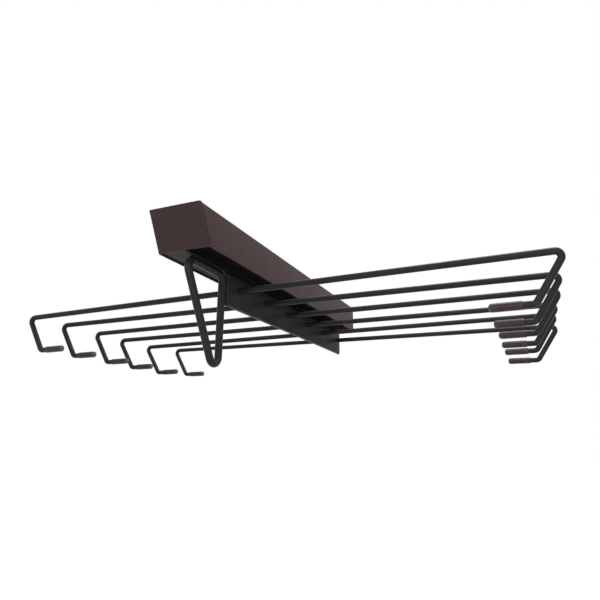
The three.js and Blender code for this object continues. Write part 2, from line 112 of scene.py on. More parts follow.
def newMaterial(name):
    material = bpy.data.materials.new(name)
    material.use_nodes = True
    return material, material.node_tree, material.node_tree.nodes["Principled BSDF"]


# Finishes

noiseSpan = (0.3, 0.7)          # nearly all of a noise lies between these
edgeCosines = (0.99, 0.75)      # of the true and the rounded normal, on the flat and at an edge

paintLook = {
    "body": srgb(78, 62, 63),
    "deep": srgb(70, 56, 57),
    "edge": srgb(100, 84, 84),
    "gloss": (0.36, 0.46),      # lowest and highest roughness
    "specular": 0.04,
    "cloudScale": 14,           # every scale is per metre
    "speckScale": 420,
    "glossScale": 60,
    "toneSpan": (0.15, 0.36),   # from the deep tone to the body's
    "wearSpan": (0.4, 0.6),
    "wear": (0.25, 0.6),        # least and most of the edge tone on an edge
    "edgeRadius": 0.6 * mm,
    "peelScale": 1500,          # orange peel of the powder
    "peelDepth": 0.02 * mm,
    "peelStrength": 0.5,
}


def powderCoat(name, look):
    material, tree, shader = newMaterial(name)
    place = objectPlace(tree)
    clouds = noise(tree, place, look["cloudScale"], detail=4)
    specks = noise(tree, place, look["speckScale"], detail=2)
    shade = remap(tree, joinValues(tree, "MULTIPLY", clouds, specks), *look["toneSpan"], 0, 1)
    tone = mixColours(tree, shade, look["deep"], look["body"])
    worn = joinValues(tree, "MULTIPLY", edgeShare(tree, look["edgeRadius"]),
                      remap(tree, clouds, *look["wearSpan"], *look["wear"]))
    feed(tree, shader.inputs["Base Color"], mixColours(tree, worn, tone, look["edge"]))
    patches = noise(tree, place, look["glossScale"])
    feed(tree, shader.inputs["Roughness"], remap(tree, patches, *noiseSpan, *look["gloss"]))
    shader.inputs["Specular IOR Level"].default_value = look["specular"]
    peel = noise(tree, place, look["peelScale"], detail=2)
    addBump(tree, shader, peel, look["peelStrength"], look["peelDepth"])
    return material


zincLook = {
    "bright": srgb(176, 178, 180),
    "dull": srgb(138, 140, 144),
    "gloss": (0.22, 0.42),
    "drawScale": (90, 3, 90),   # the drawing lines run along the members
    "lineScale": 12,
    "blotchScale": 45,
    "toneSpan": (0.12, 0.38),   # from dull to bright
    "lineDepth": 0.01 * mm,
    "lineStrength": 0.4,
}


def platedSteel(name, look):
    material, tree, shader = newMaterial(name)
    lines = noise(tree, objectPlace(tree, look["drawScale"]), look["lineScale"], detail=5, roughness=0.6)
    blotches = noise(tree, objectPlace(tree), look["blotchScale"])
    share = remap(tree, joinValues(tree, "MULTIPLY", lines, blotches), *look["toneSpan"], 0, 1)
    feed(tree, shader.inputs["Base Color"], mixColours(tree, share, look["dull"], look["bright"]))
    shader.inputs["Metallic"].default_value = 1
    feed(tree, shader.inputs["Roughness"], remap(tree, lines, *noiseSpan, *look["gloss"]))
    addBump(tree, shader, lines, look["lineStrength"], look["lineDepth"])
    return material


sleeveLook = {
    "body": srgb(62, 49, 52),
    "deep": srgb(52, 41, 44),
    # painted light: the paler tip tone stands for light shining through the translucent tip
    "tip": srgb(104, 97, 98),
    "gloss": (0.28, 0.4),
    "specular": 0.2,
    "mottleScale": 260,
    "mottleSpan": (0.35, 0.65),
    "mottleDepth": 0.03 * mm,
    "mottleStrength": 0.3,
}


def softSleeve(name, look):    # soft plastic; its paler tip is painted light, standing for light shining through the translucent end
    material, tree, shader = newMaterial(name)
    tip = addNode(tree, "ShaderNodeAttribute", attribute_name="litTipShare").outputs["Fac"]
    mottle = noise(tree, objectPlace(tree), look["mottleScale"])
    tone = mixColours(tree, remap(tree, mottle, *look["mottleSpan"], 0, 1), look["deep"], look["body"])
    # mixes in the painted light of the translucent tip
    feed(tree, shader.inputs["Base Color"], mixColours(tree, tip, tone, look["tip"]))
    feed(tree, shader.inputs["Roughness"], remap(tree, mottle, *noiseSpan, *look["gloss"]))
    shader.inputs["Specular IOR Level"].default_value = look["specular"]
    addBump(tree, shader, mottle, look["mottleStrength"], look["mottleDepth"])
    return material


rubberLook = {
    "deep": srgb(24, 24, 26),
    "body": srgb(38, 38, 40),
    "gloss": (0.7, 0.9),
    "grainScale": 900,
    "grainDepth": 0.03 * mm,
    "grainStrength": 0.5,
}


def plainRubber(name, look):
    material, tree, shader = newMaterial(name)
    grain = noise(tree, objectPlace(tree), look["grainScale"], detail=4)
    feed(tree, shader.inputs["Base Color"], mixColours(tree, grain, look["deep"], look["body"]))
    feed(tree, shader.inputs["Roughness"], remap(tree, grain, *noiseSpan, *look["gloss"]))
    addBump(tree, shader, grain, look["grainStrength"], look["grainDepth"])
    return material


# painted shade: the carriage's paint is a greyer, slightly darker copy of the one brown powder coat, matched
# to how the carriage looks in the housing's shadow
shadedPlateLook = dict(paintLook, body=srgb(63, 61, 64), deep=srgb(55, 53, 56), edge=srgb(84, 80, 83))
# painted shade: the rods' and handle's paint is a darker, greyer copy of the one brown powder coat, matched
# to how dark the wires look in shade
shadedWireLook = dict(paintLook, body=srgb(48, 45, 46), deep=srgb(42, 39, 40), edge=srgb(60, 56, 57),
                gloss=(0.26, 0.34), specular=0.1)
cageLook = dict(zincLook, bright=srgb(104, 105, 110), dull=srgb(78, 79, 84), gloss=(0.3, 0.5))
ballLook = dict(zincLook, drawScale=(1, 1, 1), gloss=(0.08, 0.15))
screwLook = dict(zincLook, drawScale=(1, 1, 1), gloss=(0.25, 0.38))

brownPaint = powderCoat("brownPowderCoat", paintLook)
# painted shade: the greyer copy of the brown powder coat, for the carriage
shadedPlatePaint = powderCoat("shadedPlateCoat", shadedPlateLook)
# painted shade: the darker copy of the brown powder coat, for the rods and the handle
shadedWirePaint = powderCoat("shadedWireCoat", shadedWireLook)
slideZinc = platedSteel("drawnZinc", zincLook)
cageSteel = platedSteel("darkCageSteel", cageLook)
ballSteel = platedSteel("ballSteel", ballLook)
screwZinc = platedSteel("screwZinc", screwLook)
sleevePlastic = softSleeve("sleevePlastic", sleeveLook)
bumperRubber = plainRubber("bumperRubber", rubberLook)
print("finishes ready")


# Helpers for shapes

def addObject(name, data):
    made = bpy.data.objects.new(name, data)
    bpy.context.scene.collection.objects.link(made)
    return made


def newPiece(name, mesh, materials, body, node):
    piece = addObject(name, mesh)
    mesh.materials.clear()
    for material in materials if isinstance(materials, list) else [materials]:
        mesh.materials.append(material)
    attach(piece, body)
    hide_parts(node)
    return piece


def meshFrom(name, bm, degrees=35):
    bmesh.ops.recalc_face_normals(bm, faces=bm.faces)
    mesh = bpy.data.meshes.new(name)
    bm.to_mesh(mesh)
    bm.free()
    smoothByAngle(mesh, degrees)
    return mesh


def smoothByAngle(mesh, degrees=35):
    mesh.polygons.foreach_set("use_smooth", [True] * len(mesh.polygons))
    mesh.set_sharp_from_angle(angle=math.radians(degrees))


def roundTurns(sides):
    return [2 * math.pi * i / sides for i in range(sides)]


def quarterTurn(steps):    # sines and cosines from 0 to 90 degrees
    angles = [math.pi / 2 * step / steps for step in range(steps + 1)]
    return [(math.sin(angle), math.cos(angle)) for angle in angles]


def skin(bm, low, high):    # faces between two closed rows of points, of which one may be a single point
    sides = max(len(low), len(high))
    for i in range(sides):
        j = (i + 1) % sides
        ring = [low[i % len(low)], low[j % len(low)], high[j % len(high)], high[i % len(high)]]
        bm.faces.new(list(dict.fromkeys(ring)))


def bentLine(corners, bendRadius, steps):    # points and headings along runs joined by round bends
    corners = [Vector(corner) for corner in corners]
    line = [(corners[0], (corners[1] - corners[0]).normalized())]
    for before, corner, after in zip(corners, corners[1:], corners[2:]):
        inward, outward = (corner - before).normalized(), (after - corner).normalized()
        angle = inward.angle(outward)
        axis = inward.cross(outward).normalized()
        start = corner - inward * bendRadius * math.tan(angle / 2)
        centre = start + axis.cross(inward) * bendRadius
        for step in range(steps + 1):
            heading = Matrix.Rotation(angle * step / steps, 3, axis) @ inward
            line.append((centre - axis.cross(heading) * bendRadius, heading))
    line.append((corners[-1], (corners[-1] - corners[-2]).normalized()))
    return line


def wireMesh(name, corners, radius, bendRadius, sides=24, steps=9, endRound=0.18):
    line = bentLine(corners, bendRadius, steps)
    normal = Vector((0, 1, 0)) if abs(line[0][1].y) < 0.5 else Vector((1, 0, 0))
    inset = radius * endRound       # a small broken edge at each cut end
    first, last = line[0], line[-1]
    rings = [(first[0], first[1], radius - inset), (first[0] + first[1] * inset, first[1], radius)]
    rings += [(point, heading, radius) for point, heading in line[1:-1]]
    rings += [(last[0] - last[1] * inset, last[1], radius), (last[0], last[1], radius - inset)]
    bm = bmesh.new()
    loops = []
    for point, heading, reach in rings:
        side = heading.cross(normal).normalized()
        up = side.cross(heading).normalized()
        loops.append([bm.verts.new(point + (side * math.cos(turn) + up * math.sin(turn)) * reach)
                      for turn in roundTurns(sides)])
    for low, high in zip(loops, loops[1:]):
        skin(bm, low, high)
    bm.faces.new(loops[0][::-1])
    bm.faces.new(loops[-1])
    return meshFrom(name, bm)


pointRadius = 0.0001 * mm    # less than this counts as a point on the axis


def turnedMesh(name, outline, sides=32, degrees=35):    # pairs of radius and height, turned about z
    bm = bmesh.new()
    loops = []
    for radius, height in outline:
        if radius < pointRadius:
            loops.append([bm.verts.new((0, 0, height))])
        else:
            loops.append([bm.verts.new((radius * math.cos(turn), radius * math.sin(turn), height))
                          for turn in roundTurns(sides)])
    for low, high in zip(loops, loops[1:]):
        skin(bm, low, high)
    return meshFrom(name, bm, degrees)


def barMesh(name, radius, start, end, sides=32):
    start, end = Vector(start), Vector(end)
    length = (end - start).length
    mesh = turnedMesh(name, [(0, 0), (radius, 0), (radius, length), (0, length)], sides)
    mesh.transform(Matrix.Translation(start) @ (end - start).to_track_quat("Z", "Y").to_matrix().to_4x4())
    return mesh


def foldedMesh(name, corners, sheet, insideBend, fromY, toY, steps=8):    # a section in x and z, run along y
    line = bentLine([(x, 0, z) for x, z in corners], insideBend + sheet / 2, steps)
    left = [(point.x - heading.z * sheet / 2, point.z + heading.x * sheet / 2) for point, heading in line]
    right = [(point.x + heading.z * sheet / 2, point.z - heading.x * sheet / 2) for point, heading in line]
    outline = left + right[::-1]
    bm = bmesh.new()
    near = [bm.verts.new((x, fromY, z)) for x, z in outline]
    far = [bm.verts.new((x, toY, z)) for x, z in outline]
    skin(bm, near, far)
    bm.faces.new(near)
    bm.faces.new(far)
    return meshFrom(name, bm)


def boxMesh(name, low, high):
    bm = bmesh.new()
    bmesh.ops.create_cube(bm, size=1)
    for vert in bm.verts:
        vert.co = [a + (b - a) * (share + 0.5) for a, b, share in zip(low, high, vert.co)]
    return meshFrom(name, bm)


def combine(name, mesh, steps):    # joins and cuts with other meshes, in the order given
    base = addObject(name, mesh)
    tools = []
    for kind, tool in steps:
        other = addObject(name + "Tool", tool)
        tools.append(other)
        change = base.modifiers.new(kind, "BOOLEAN")
        change.operation, change.object, change.solver = kind, other, "EXACT"
    graph = bpy.context.evaluated_depsgraph_get()
    made = bpy.data.meshes.new_from_object(base.evaluated_get(graph))
    made.name = name
    for other in (base, *tools):
        bpy.data.objects.remove(other)
    smoothByAngle(made)
    return made


def joined(name, parts):    # pairs of a mesh and the number of its material
    bm = bmesh.new()
    for part, number in parts:
        before = len(bm.faces)
        bm.from_mesh(part)
        bm.faces.ensure_lookup_table()
        for face in bm.faces[before:]:
            face.material_index = number
    return meshFrom(name, bm)


def breakEdges(piece, width, degrees=40):    # a small rounded edge, as the press and the powder leave it
    bevel = piece.modifiers.new("brokenEdges", "BEVEL")
    bevel.width, bevel.segments, bevel.limit_method = width, 2, "ANGLE"
    bevel.angle_limit = math.radians(degrees)
    bevel.harden_normals = True
    return piece


# The slanted front's own frame: x as before, y square to the face and inwards, z up along the face

rackShape = {
    "length": 436 * mm,
    "width": 57 * mm,
    "height": 37.8 * mm,
    "setback": 18.7 * mm,    # how far the front's lower edge stands behind its upper edge
}
halfLength, halfWidth, height = rackShape["length"] / 2, rackShape["width"] / 2, rackShape["height"]
cutterHalfWidth, cutterReach = 200 * mm, 800 * mm    # for cutters that pass the whole rack
over = 2 * mm                                        # how far a smaller cutter passes what it cuts
frontAngle = math.atan2(rackShape["setback"], height)
faceFrame = Matrix.Translation((0, -halfLength, 0)) @ Matrix.Rotation(frontAngle, 4, "X")


def facedBox(name, low, high):
    mesh = boxMesh(name, low, high)
    mesh.transform(faceFrame)
    return mesh


def behindFace(name, depth):    # all the room more than a depth behind the slanted face
    wide, far = cutterHalfWidth, cutterReach
    return facedBox(name, (-wide, depth, -far), (wide, far, far))


# Fasteners that several pieces have holes for

rivetShape = {
    "ys": [(i - 1.5) * 100 * mm for i in range(4)],
    "top": -0.1 * mm,
    "low": -2.9 * mm,
    "shank": 2 * mm,          # radii
    "head": 3.2 * mm,
    "headHeight": 0.9 * mm,
    "rim": 0.15 * mm,         # broken edge of the heads
    "flatShare": 0.3,         # of the head's radius
    "play": 0.3 * mm,
}
screwShape = {
    "x": 5.725 * mm,
    "ys": [(i - 1.5) * 100 * mm for i in range(4)],
    "headLow": -19.5 * mm,
    "headTop": -17.1 * mm,
    "tip": -11.7 * mm,
    "head": 4 * mm,
    "crown": 2.8 * mm,
    "shank": 2 * mm,
    "core": 1.65 * mm,
    "thread": 0.7 * mm,
    "hole": 2.3 * mm,
    "threadStart": 0.2 * mm,
    "shoulderSteps": 5,
    "recess": (4 * mm, 1 * mm, 1.3 * mm),    # length, width and depth
}
studShape = {
    "xs": (-10 * mm, 10 * mm),
    "up": -27.666 * mm,       # along the slanted face
    "root": 0.75 * mm,        # depths behind the face
    "end": 8.2 * mm,
    "radius": 2 * mm,
    "core": 1.7 * mm,
    "thread": 0.7 * mm,
    "threadLead": 0.8 * mm,   # how far the thread starts before the nut
    "hole": 2.3 * mm,
    "nutSeat": 4.1 * mm,
    "nutHeight": 3.2 * mm,
    "nutFlats": 7 * mm,
    "nutEdge": 0.14,          # shares of the nut's radius and height
    "nutFlare": 1.01,
}
threadCrest = (0.4, 0.6)      # where a thread's crest lies within one pitch


def rivetCutters():
    head, shank = rivetShape["head"] + rivetShape["play"], rivetShape["shank"] + rivetShape["play"]
    low, top = rivetShape["low"], rivetShape["top"]
    outline = [(0, low - over), (head, low - over), (head, low), (shank, low + rivetShape["headHeight"]),
               (shank, top - rivetShape["headHeight"]), (head, top), (head, top + over), (0, top + over)]
    cutters = []
    for y in rivetShape["ys"]:
        cutter = turnedMesh("rivetHole", outline, 24)
        cutter.transform(Matrix.Translation((0, y, 0)))
        cutters.append(("DIFFERENCE", cutter))
    return cutters


def screwCutters(low, high):
    x = screwShape["x"]
    return [("DIFFERENCE", barMesh("screwHole", screwShape["hole"], (x, y, low), (x, y, high), 24))
            for y in screwShape["ys"]]


def threadOutline(core, crest, low, high, pitch):
    outline = []
    turns = int((high - low) / pitch)
    for i in range(turns):
        outline.append((core, low + i * pitch))
        outline += [(crest, low + (i + share) * pitch) for share in threadCrest]
    return outline + [(core, low + turns * pitch)]


def facedPlace(x, depth):    # a stud's or nut's place, its axis square to the face
    seat = Matrix.Translation((x, depth, studShape["up"]))
    return faceFrame @ seat @ Matrix.Rotation(-math.pi / 2, 4, "X")


def facedBar(name, radius, x, fromDepth, toDepth):
    mesh = barMesh(name, radius, (x, fromDepth, studShape["up"]), (x, toDepth, studShape["up"]))
    mesh.transform(faceFrame)
    return mesh


# Housing: a channel of sheet steel that opens downwards, with its rear end turned down

housingShape = {
    "sheet": 1.5 * mm,
    "insideBend": 1 * mm,
    "frontDepth": 2.8 * mm,       # the cap's turned edge and the open seam behind it
    "tabSeam": 0.5 * mm,
    "tabLift": 1 * mm,
    "holePlaces": [(x * mm, y * mm) for x in (-15, 15) for y in (-205.5, 205.5)],
    "holeRadius": 2.5 * mm,
    "holeSpan": (-5 * mm, 3 * mm),
    "brokenEdge": 0.25 * mm,
}


def makeHousing():
    shape = housingShape
    sheet = shape["sheet"]
    x, topZ = halfWidth - sheet / 2, -sheet / 2
    shell = foldedMesh("housingShell", [(-x, -height), (-x, topZ), (x, topZ), (x, -height)],
                       sheet, shape["insideBend"], -halfLength, halfLength)
    tabX = halfWidth - sheet - shape["tabSeam"]
    tab = boxMesh("rearTab", (-tabX, halfLength - sheet, -height + shape["tabLift"]),
                  (tabX, halfLength, topZ))
    steps = [("INTERSECT", behindFace("frontCut", shape["frontDepth"])), ("UNION", tab)]
    low, high = shape["holeSpan"]
    for x, y in shape["holePlaces"]:
        hole = barMesh("mountHole", shape["holeRadius"], (x, y, low), (x, y, high), 24)
        steps.append(("DIFFERENCE", hole))
    mesh = combine("housingShell", shell, steps + rivetCutters())
    piece = newPiece("housing_channel", mesh, brownPaint, "housing", "housing")
    breakEdges(piece, shape["brokenEdge"])


# Front cap: a slanted sheet face with turned edges at its sides and top, and two studs behind it

capShape = {
    "sheet": 1.5 * mm,
    "insideBend": 0.3 * mm,
    "turnedEdge": 2 * mm,
    "topGap": 0.6 * mm,
    "blankHalf": 100 * mm,    # half the size of the sheet that the cap is cut from
    "blankReach": 300 * mm,
    "brokenEdge": 0.25 * mm,
    "brokenDegrees": 60,      # only edges sharper than this
}


def makeFrontCap():
    shape = capShape
    sheet, depth, blank, reach = shape["sheet"], shape["turnedEdge"], shape["blankHalf"], shape["blankReach"]
    x = halfWidth - sheet / 2
    shell = foldedMesh("capShell", [(-x, -depth), (-x, -sheet / 2), (x, -sheet / 2), (x, -depth)],
                       sheet, shape["insideBend"], -blank, blank)
    shell.transform(faceFrame @ Matrix.Rotation(math.pi / 2, 4, "X"))
    topZ, innerX = -shape["topGap"], halfWidth - sheet
    lip = combine("capLip", boxMesh("capLip", (-innerX, -reach, topZ - sheet), (innerX, 0, topZ)),
                  [("INTERSECT", facedBox("lipRoom", (-blank, sheet / 2, -blank), (blank, depth, blank)))])
    band = boxMesh("capBand", (-blank, -reach, -height), (blank, blank, topZ))
    cap = combine("capShell", shell, [("INTERSECT", band), ("UNION", lip)])
    outline = [(0, 0), (studShape["radius"], 0)]
    start = studShape["nutSeat"] - studShape["threadLead"] - studShape["root"]
    length = studShape["end"] - studShape["root"]
    outline += threadOutline(studShape["core"], studShape["radius"], start, length, studShape["thread"])
    outline.append((0, outline[-1][1]))
    parts = [(cap, 0)]
    for x in studShape["xs"]:
        stud = turnedMesh("capStud", outline, 24)
        stud.transform(facedPlace(x, studShape["root"]))
        parts.append((stud, 1))
    piece = newPiece("front_cap_face", joined("frontCap", parts), [brownPaint, screwZinc],
                     "carriage", "front_cap")
    breakEdges(piece, shape["brokenEdge"], shape["brokenDegrees"])


def makeCapNuts():
    radius, tall = studShape["nutFlats"] / math.sqrt(3), studShape["nutHeight"]
    edge, flare = studShape["nutEdge"], studShape["nutFlare"] * radius
    flat = (1 - edge) * radius
    outline = [(0, 0), (flat, 0), (flare, edge * tall), (flare, (1 - edge) * tall), (flat, tall), (0, tall)]
    for number, x in enumerate(studShape["xs"], 1):
        nut = turnedMesh("capNut", [(0, 0), (radius, 0), (radius, tall), (0, tall)], 6)
        rounded = turnedMesh("nutRound", outline, 48)
        bore = barMesh("nutBore", studShape["hole"], (0, 0, -tall), (0, 0, 2 * tall))
        mesh = combine(f"capNut{number}", nut, [("INTERSECT", rounded), ("DIFFERENCE", bore)])
        mesh.transform(facedPlace(x, studShape["nutSeat"]))
        newPiece(f"cap_nut_{number}", mesh, screwZinc, "carriage",
                 f"front_cap_nut_{number}")


makeHousing()
makeFrontCap()
makeCapNuts()
print("housing and front cap made")


# Ball-bearing slide: three members, two cages with their balls, rivets and the rear stop

slideShape = {
    "sheet": 1.2 * mm,
    "insideBend": 0.5 * mm,
    "frontY": -200 * mm,
    "rearY": 200 * mm,
    "middleRearY": 193.7 * mm,
    "holeSpan": (-16 * mm, -11 * mm),
    # the members' middle lines, x and z in millimetres
    "outer": [(-20.25, -11.2), (-22.25, -11.2), (-22.25, -2.4),
              (22.25, -2.4), (22.25, -11.2), (20.25, -11.2)],
    "middle": [(-16.55, -12.8), (-16.55, -5), (16.55, -5), (16.55, -12.8)],
    "inner": [(-10.85, -7), (-10.85, -13.9), (10.85, -13.9), (10.85, -7)],
}
cageShape = {
    "sheet": 0.6 * mm,
    "reach": 88 * mm,
    "ballRadius": 2 * mm,
    "ballPitch": 32 * mm,
    "ballsPerRow": 6,
    "ballSteps": 10,
    "outer": {"ballX": 19.4 * mm, "ballZ": -6.8 * mm, "lineZ": -3.7 * mm, "lowZ": -9.2 * mm},
    "inner": {"ballX": 13.7 * mm, "ballZ": -9.4 * mm, "lineZ": -6.3 * mm, "lowZ": -11.8 * mm},
}
bumperShape = {
    "halfWidth": 9.45 * mm,
    "frontY": 194 * mm,
    "rearY": 200 * mm,
    "lowZ": -9.8 * mm,
    "topZ": -3.3 * mm,
    "brokenEdge": 0.4 * mm,
    "notchXs": (-5 * mm, 0, 5 * mm),
    "notchHalf": 0.6 * mm,
    "notchDepth": 1.5 * mm,
}


def slideMember(which, rearY, holes):
    corners = [(x * mm, z * mm) for x, z in slideShape[which]]
    mesh = foldedMesh(f"{which}Member", corners, slideShape["sheet"], slideShape["insideBend"],
                      slideShape["frontY"], rearY)
    return combine(f"{which}Member", mesh, holes) if holes else mesh


def makeSlide():
    rearY = slideShape["rearY"]
    rows = (("outer", rearY, rivetCutters(), "housing"),
            ("middle", slideShape["middleRearY"], (), "middle_member"),
            ("inner", rearY, screwCutters(*slideShape["holeSpan"]), "carriage"))
    for which, endY, holes, body in rows:
        newPiece(f"slide_{which}_channel", slideMember(which, endY, holes), slideZinc, body,
                 f"slide_{which}_member")


def makeCage(which):
    shape = cageShape[which]
    x, sheet, reach = shape["ballX"], cageShape["sheet"], cageShape["reach"]
    lowZ, lineZ = shape["lowZ"], shape["lineZ"]
    strip = foldedMesh(f"{which}CageStrip", [(-x, lowZ), (-x, lineZ), (x, lineZ), (x, lowZ)],
                       sheet, sheet, -reach, reach)
    parts = [(strip, 0)]
    radius, balls, steps = cageShape["ballRadius"], cageShape["ballsPerRow"], cageShape["ballSteps"]
    angles = [math.pi * step / steps for step in range(steps + 1)]
    outline = [(radius * math.sin(angle), -radius * math.cos(angle)) for angle in angles]
    for i in range(balls):
        y = (i - (balls - 1) / 2) * cageShape["ballPitch"]
        for side in (-x, x):
            ball = turnedMesh("ball", outline, 20, 60)
            ball.transform(Matrix.Translation((side, y, shape["ballZ"])))
            parts.append((ball, 1))
    newPiece(f"{which}_cage_strip", joined(f"{which}Cage", parts), [cageSteel, ballSteel], f"{which}_cage",
             f"{which}_ball_cage")


def makeRivets():
    shape = rivetShape
    low, top, rim, head = shape["low"], shape["top"], shape["rim"], shape["head"]
    outline = [(0, low), (head - rim, low), (head, low + rim), (shape["shank"], low + shape["headHeight"]),
               (shape["shank"], top - shape["headHeight"]), (head, top - rim), (head - rim, top),
               (shape["flatShare"] * head, top - rim / 2), (0, top - rim / 2)]
    for number, y in enumerate(shape["ys"], 1):
        rivet = turnedMesh(f"rivet{number}", outline)
        rivet.transform(Matrix.Translation((0, y, 0)))
        newPiece(f"rivet_{number}", rivet, screwZinc, "housing",
                 f"slide_rivet_{number}")


def makeBumper():
    shape = bumperShape
    block = boxMesh("rearStop", (-shape["halfWidth"], shape["frontY"], shape["lowZ"]),
                    (shape["halfWidth"], shape["rearY"], shape["topZ"]))
    notches = []
    for x in shape["notchXs"]:
        notch = boxMesh("stopNotch", (x - shape["notchHalf"], shape["frontY"] - over, shape["lowZ"] - over),
                        (x + shape["notchHalf"], shape["frontY"] + shape["notchDepth"], 0))
        notches.append(("DIFFERENCE", notch))
    piece = newPiece("rear_stop", combine("rearStop", block, notches), bumperRubber, "housing",
                     "slide_rear_bumper")
    breakEdges(piece, shape["brokenEdge"])


makeSlide()
makeCage("outer")
makeCage("inner")
makeRivets()
makeBumper()
print("slide made")


# Carriage: one folded sheet with the plate that the rods pass through

carriageShape = {
    "sheet": 2 * mm,
    "insideBend": 1.5 * mm,
    "topZ": -15.8 * mm,            # the sheet's middle lines
    "uprightX": -24.6 * mm,
    "flangeZ": -36.5 * mm,
    "topReach": 17 * mm,
    "lipReach": 0.5 * mm,
    "neckReach": -2.8 * mm,
    "foldRelief": 3 * mm,
    "frontDepth": 1.8 * mm,        # behind the slanted face
    "rearY": 213 * mm,
    "rearStep": 0.3 * mm,          # the plate's top rear corner lies this far under the flange
    "plateFrontY": -123.6 * mm,
    "plateRearY": 229.3 * mm,
    "plateLow": -74 * mm,
    "plateReturn": 6 * mm,
    "returnInset": 18 * mm,
    "cornerRadius": 8 * mm,
    "cornerMargin": 0.2 * mm,
    "cornerCut": 10 * mm,
    "frontReturn": 5 * mm,
    "frontReturnTop": -40.5 * mm,
    "frontReturnRise": 0.5 * mm,   # its lower end's height over the lower fold's middle line
    "tabHalfWidth": 15 * mm,
    "tabTop": -18.742 * mm,        # along the slanted face
    "tabHeight": 16 * mm,
    "rodHole": 3.55 * mm,          # radius
    "screwSpan": (-18 * mm, -13 * mm),
    "studSpan": (1 * mm, 6 * mm),
    "cutReach": 50 * mm,
    "brokenEdge": 0.3 * mm,
}


def carriageSheets():    # the folded front, its narrow neck behind the relief, and the part with the plate
    shape = carriageShape
    sheet, bend, relief = shape["sheet"], shape["insideBend"], shape["foldRelief"]
    frontY, flangeZ, lowZ = shape["plateFrontY"], shape["flangeZ"], shape["plateLow"] + sheet / 2
    upper = [(shape["topReach"], shape["topZ"]), (shape["uprightX"], shape["topZ"]),
             (shape["uprightX"], flangeZ)]
    plate = [(0, flangeZ), (0, lowZ), (shape["plateReturn"] - sheet / 2, lowZ)]
    front = foldedMesh("carriageFront", upper + [(shape["lipReach"], flangeZ)], sheet, bend,
                       -halfLength, frontY - relief)
    neck = foldedMesh("carriageNeck", upper + [(shape["neckReach"], flangeZ)], sheet, bend,
                      frontY - 2 * relief, frontY + relief)
    main = foldedMesh("carriageSheet", upper + plate, sheet, bend, frontY, shape["plateRearY"])
    return front, neck, main


def plateCorner():    # what rounding the plate's lower rear corner takes away
    shape = carriageShape
    rearY, radius, reach = shape["plateRearY"] + over, shape["cornerRadius"], shape["cornerCut"]
    y = shape["plateRearY"] - radius + shape["cornerMargin"]
    z = shape["plateLow"] + radius - shape["cornerMargin"]
    block = boxMesh("plateCorner", (-reach, y, shape["plateLow"] - over), (reach, rearY, z))
    rounding = barMesh("cornerRound", radius, (-2 * reach, y, z), (2 * reach, y, z), 48)
    return combine("plateCorner", block, [("DIFFERENCE", rounding)])


def carriageCuts():
    shape = carriageShape
    half, reach = shape["sheet"] / 2, shape["cutReach"]
    rearY, plateLow = shape["plateRearY"], shape["plateLow"]
    cuts = [boxMesh("rearCut", (-reach, shape["rearY"], shape["flangeZ"] - half - shape["rearStep"]),
                    (reach, rearY + over, 0)),
            boxMesh("returnCut", (half, rearY - shape["returnInset"], plateLow - over),
                    (reach, rearY + over, plateLow + shape["cornerRadius"]))]
    return [("DIFFERENCE", cut) for cut in cuts]


def makeCarriage():
    shape = carriageShape
    sheet, depth = shape["sheet"], shape["frontDepth"]
    front, neck, main = carriageSheets()
    tab = facedBox("frontTab", (-shape["tabHalfWidth"], 0, shape["tabTop"] - shape["tabHeight"]),
                   (shape["tabHalfWidth"], depth + sheet, shape["tabTop"]))
    returnLow = shape["plateLow"] + sheet / 2 + shape["frontReturnRise"]
    returnX, frontY = shape["frontReturn"] - sheet / 2, shape["plateFrontY"]
    frontReturn = boxMesh("frontReturn", (0, frontY, returnLow),
                          (returnX, frontY + sheet, shape["frontReturnTop"]))
    steps = [("UNION", tab), ("INTERSECT", behindFace("frontCut", depth)), ("UNION", neck), ("UNION", main)]
    steps += carriageCuts()
    steps += [("UNION", frontReturn), ("DIFFERENCE", plateCorner())]
    holeReach = sheet / 2 + over
    for i in range(rodCount):
        hole = barMesh("rodHole", shape["rodHole"], (-holeReach, rodY(i), -rodShape["drop"]),
                       (holeReach, rodY(i), -rodShape["drop"]))
        steps.append(("DIFFERENCE", hole))
    steps += screwCutters(*shape["screwSpan"])
    for x in studShape["xs"]:
        steps.append(("DIFFERENCE", facedBar("studHole", studShape["hole"], x, *shape["studSpan"])))
    # the carriage takes the painted-shade copy of the brown powder coat
    piece = newPiece("carriage_sheet", combine("carriageSheet", front, steps), shadedPlatePaint, "carriage",
                     "carriage")
    breakEdges(piece, shape["brokenEdge"])


def makeScrews():
    shape = screwShape
    low, top, head, crown = shape["headLow"], shape["headTop"], shape["head"], shape["crown"]
    outline = [(0, low)]
    outline += [(crown + (head - crown) * sine, low + (head - crown) * (1 - cosine))
                for sine, cosine in quarterTurn(shape["shoulderSteps"])]
    outline += [(head, top), (shape["core"], top)]
    outline += threadOutline(shape["core"], shape["shank"], top + shape["threadStart"], shape["tip"],
                             shape["thread"])
    outline.append((0, shape["tip"]))
    length, width, depth = shape["recess"]
    for number, y in enumerate(shape["ys"], 1):
        cross = []
        for x2, y2 in ((length, width), (width, length)):
            slot = boxMesh("recess", (-x2 / 2, -y2 / 2, low - over), (x2 / 2, y2 / 2, low + depth))
            cross.append(("DIFFERENCE", slot))
        screw = combine(f"panScrew{number}", turnedMesh("panScrew", outline), cross)
        screw.transform(Matrix.Translation((shape["x"], y, 0)))
        newPiece(f"pan_screw_{number}", screw, screwZinc, "carriage",
                 f"carriage_screw_{number}")


# Trouser rods and their sleeves

